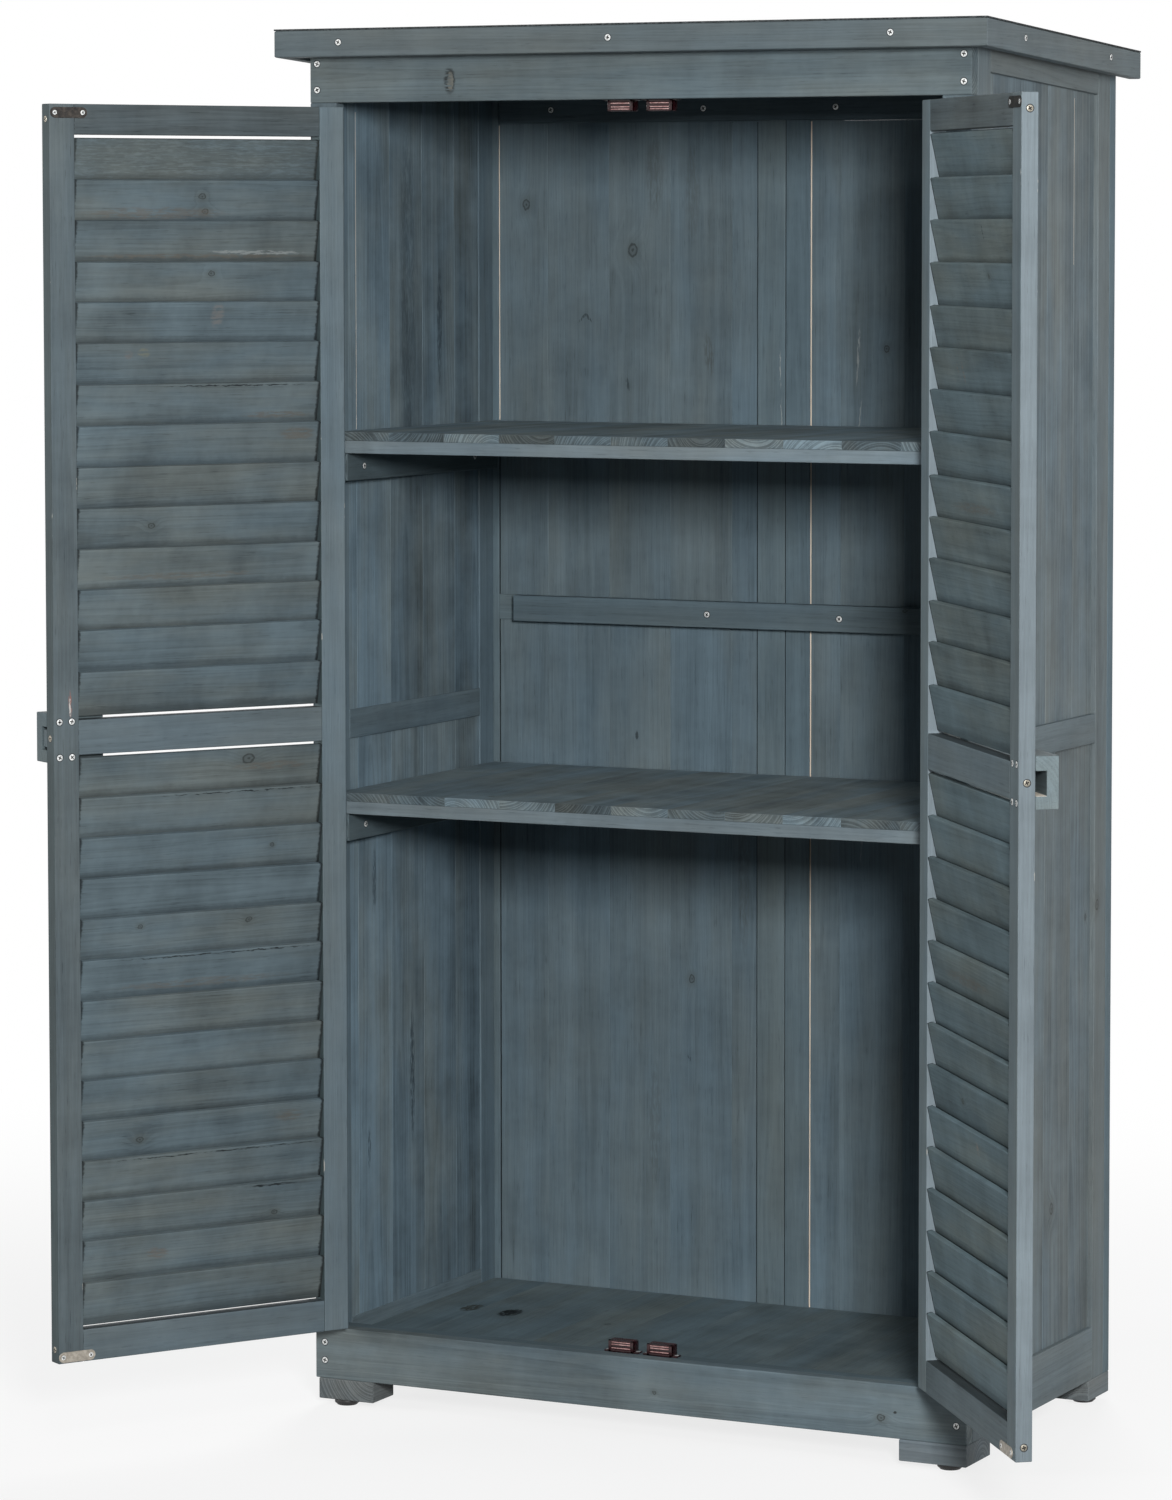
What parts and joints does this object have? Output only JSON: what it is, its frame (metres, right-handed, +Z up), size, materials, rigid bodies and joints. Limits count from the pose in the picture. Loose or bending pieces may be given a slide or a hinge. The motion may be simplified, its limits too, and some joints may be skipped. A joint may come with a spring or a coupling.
{
  "type": "garden storage cabinet",
  "caption": "Free-standing timber garden cabinet with a sloping roof, fixed shelves and a pair of louvred doors held shut by a sliding wooden bar and magnetic catches.",
  "frame": {"origin": "on the ground, under the middle of the whole object's box with the doors open as at rest; the cabinet's own front face lies 52.87 mm in front of it, at y = -0.05287 m, and the middle of its width at x = -0.01672 m", "axes": "+X to the cabinet's right as seen from the front, +Y from the front to the back, +Z up"},
  "size_m": [1.2028, 0.7642, 1.58],
  "materials": {
    "stained_wood": "softwood under a matt slate-grey water-based stain, grain and knots showing through",
    "black_plastic": "moulded black plastic",
    "roofing_felt": "mineral-faced bitumen felt",
    "catch_plastic": "moulded dark red-brown plastic",
    "ferrite": "pressed ferrite between steel plates",
    "zinc_steel": "bright zinc-plated steel",
    "strike_steel": "plated steel, slightly tarnished"
  },
  "bodies": {
    "carcass": {"foot_blocks_front": "stained_wood", "foot_blocks_back": "stained_wood", "glides": "black_plastic", "bottom_board": "stained_wood", "post_left": "stained_wood", "post_right": "stained_wood", "header_board": "stained_wood", "header_batten": "stained_wood", "catch_rail": "stained_wood", "side_left_stiles": "stained_wood", "side_left_rails": "stained_wood", "side_left_boards": "stained_wood", "side_right_stiles": "stained_wood", "side_right_rails": "stained_wood", "side_right_boards": "stained_wood", "back_left_stiles": "stained_wood", "back_left_rails": "stained_wood", "back_left_boards": "stained_wood", "back_right_stiles": "stained_wood", "back_right_rails": "stained_wood", "back_right_boards": "stained_wood", "back_top_batten": "stained_wood", "back_mid_batten": "stained_wood", "floor_boards": "stained_wood", "floor_bearers": "stained_wood", "upper_shelf_boards": "stained_wood", "upper_shelf_battens": "stained_wood", "lower_shelf_boards": "stained_wood", "lower_shelf_battens": "stained_wood", "shelf_supports": "stained_wood", "roof_boards": "stained_wood", "roof_felt": "roofing_felt", "fascia_front": "stained_wood", "fascia_left": "stained_wood", "fascia_right": "stained_wood", "magnetic_catches": "catch_plastic", "catch_magnets": "ferrite", "hinge_leaves_on_posts": "zinc_steel", "hinge_pins": "zinc_steel", "carcass_screws": "zinc_steel"},
    "left_door": {"left_door_hinge_stile": "stained_wood", "left_door_free_stile": "stained_wood", "left_door_rails": "stained_wood", "left_door_lower_slats": "stained_wood", "left_door_upper_slats": "stained_wood", "left_latch_block": "stained_wood", "left_door_strike_plates": "strike_steel", "left_door_hinge_leaves": "zinc_steel", "left_door_screws": "zinc_steel"},
    "right_door": {"right_door_hinge_stile": "stained_wood", "right_door_free_stile": "stained_wood", "right_door_rails": "stained_wood", "right_door_lower_slats": "stained_wood", "right_door_upper_slats": "stained_wood", "right_keeper_block": "stained_wood", "right_door_strike_plates": "strike_steel", "right_door_hinge_leaves": "zinc_steel", "right_door_screws": "zinc_steel"},
    "latch": {"latch_bar": "stained_wood"}
  },
  "joints": [
    {"name": "left_door_hinge", "type": "hinge", "parent": "carcass", "child": "left_door", "pos_m": [-0.38772, -0.05607, 0.7935], "axis": [0, 0, 1], "range_deg": [-58.2, 121.8]},
    {"name": "right_door_hinge", "type": "hinge", "parent": "carcass", "child": "right_door", "pos_m": [0.35428, -0.05607, 0.7935], "axis": [0, 0, 1], "range_deg": [-128.4, 51.6]},
    {"name": "latch_slide", "type": "slide", "parent": "left_door", "child": "latch", "axis": [-0.527, -0.8499, 0], "range_m": [0, 0.06]}
  ]
}
